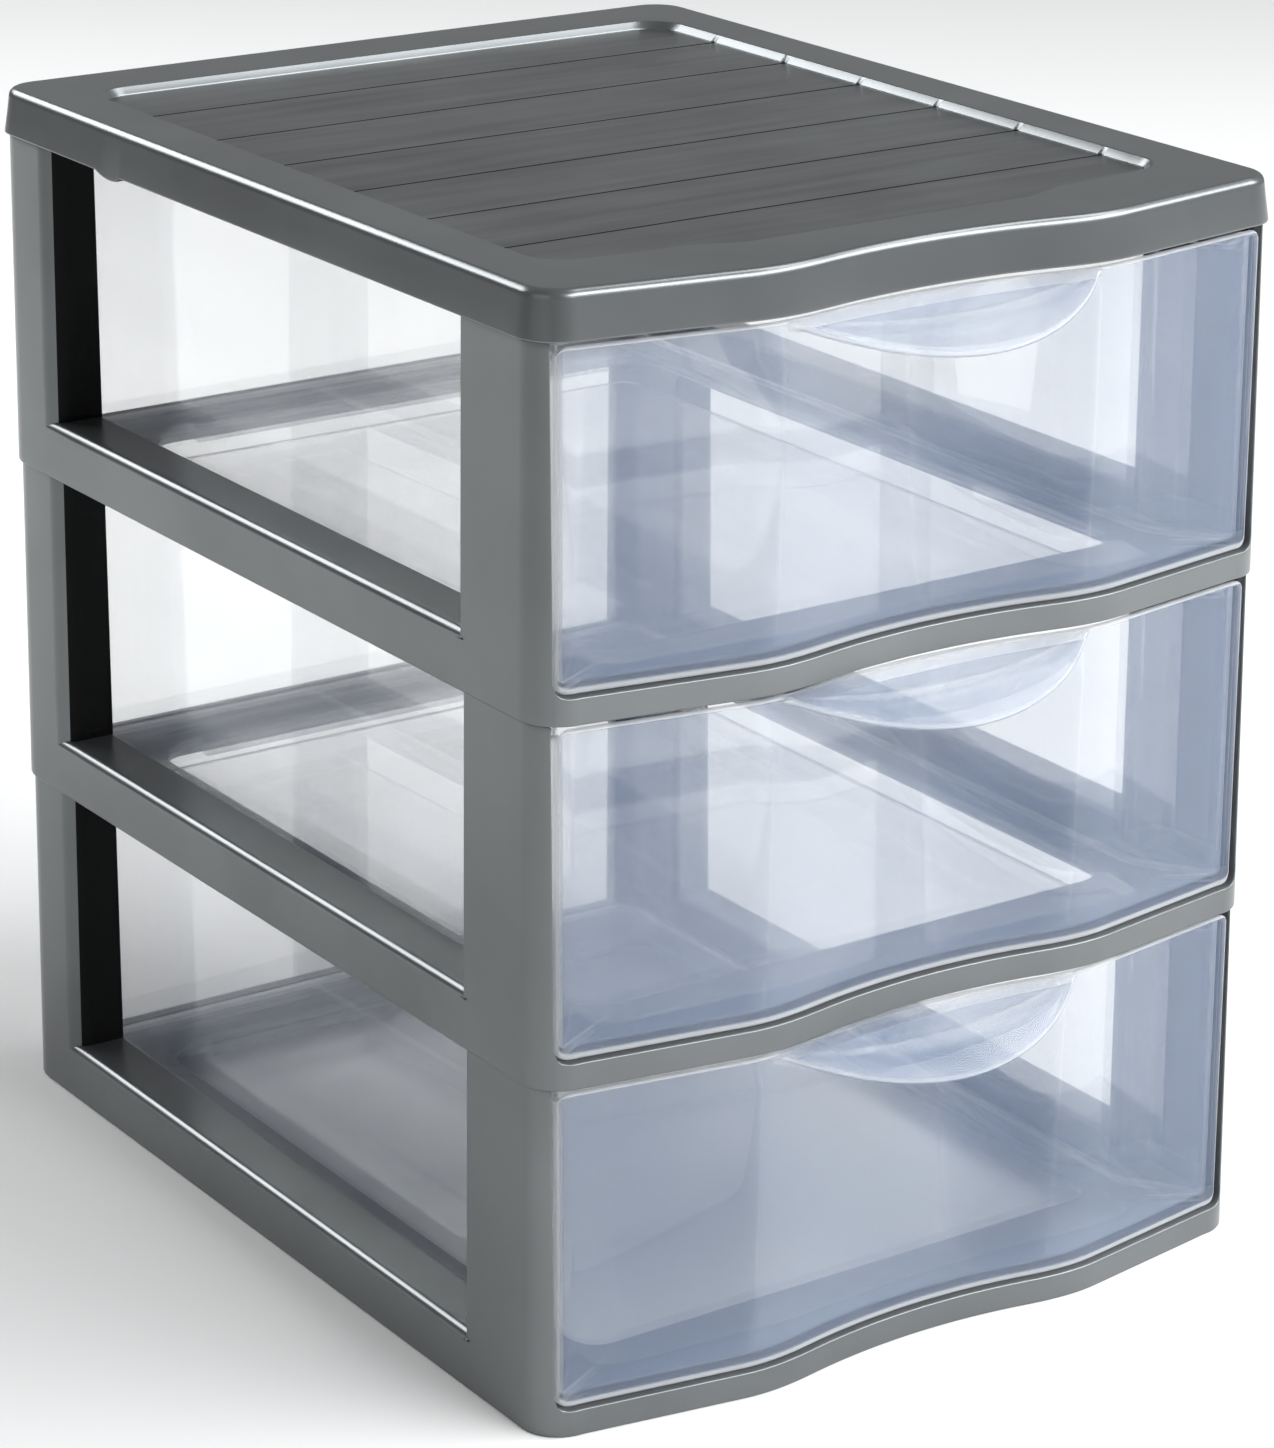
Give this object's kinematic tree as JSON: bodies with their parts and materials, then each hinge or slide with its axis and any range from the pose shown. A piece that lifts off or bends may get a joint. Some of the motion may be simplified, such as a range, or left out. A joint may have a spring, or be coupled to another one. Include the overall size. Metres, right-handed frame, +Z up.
{
  "type": "plastic drawer tower",
  "caption": "Desktop drawer tower of stacked open plastic frames under a planked cover, with clear pull-out drawers that have a bowed front and a crescent lip handle.",
  "frame": {"origin": "centre of the bounding box at the bottom, where the lowest frame stands", "axes": "+Z up, +X to the right as seen from the front, drawers slide out toward -Y"},
  "size_m": [0.193, 0.2606, 0.2505],
  "materials": {
    "grey_plastic": "moulded polypropylene with fine metallic pigment, semi-gloss",
    "clear_plastic": "moulded clarified polypropylene, glossy outside, slightly cloudy"
  },
  "bodies": {
    "tower": {"top_cover": "grey_plastic", "upper_frame": "grey_plastic", "middle_frame": "grey_plastic", "lower_frame": "grey_plastic"},
    "upper_tray": {"upper_drawer": "clear_plastic"},
    "middle_tray": {"middle_drawer": "clear_plastic"},
    "lower_tray": {"lower_drawer": "clear_plastic"}
  },
  "joints": [
    {"name": "upper_drawer_slide", "type": "slide", "parent": "tower", "child": "upper_tray", "axis": [0, -1, 0], "range_m": [0, 0.184]},
    {"name": "middle_drawer_slide", "type": "slide", "parent": "tower", "child": "middle_tray", "axis": [0, -1, 0], "range_m": [0, 0.184]},
    {"name": "lower_drawer_slide", "type": "slide", "parent": "tower", "child": "lower_tray", "axis": [0, -1, 0], "range_m": [0, 0.184]}
  ]
}
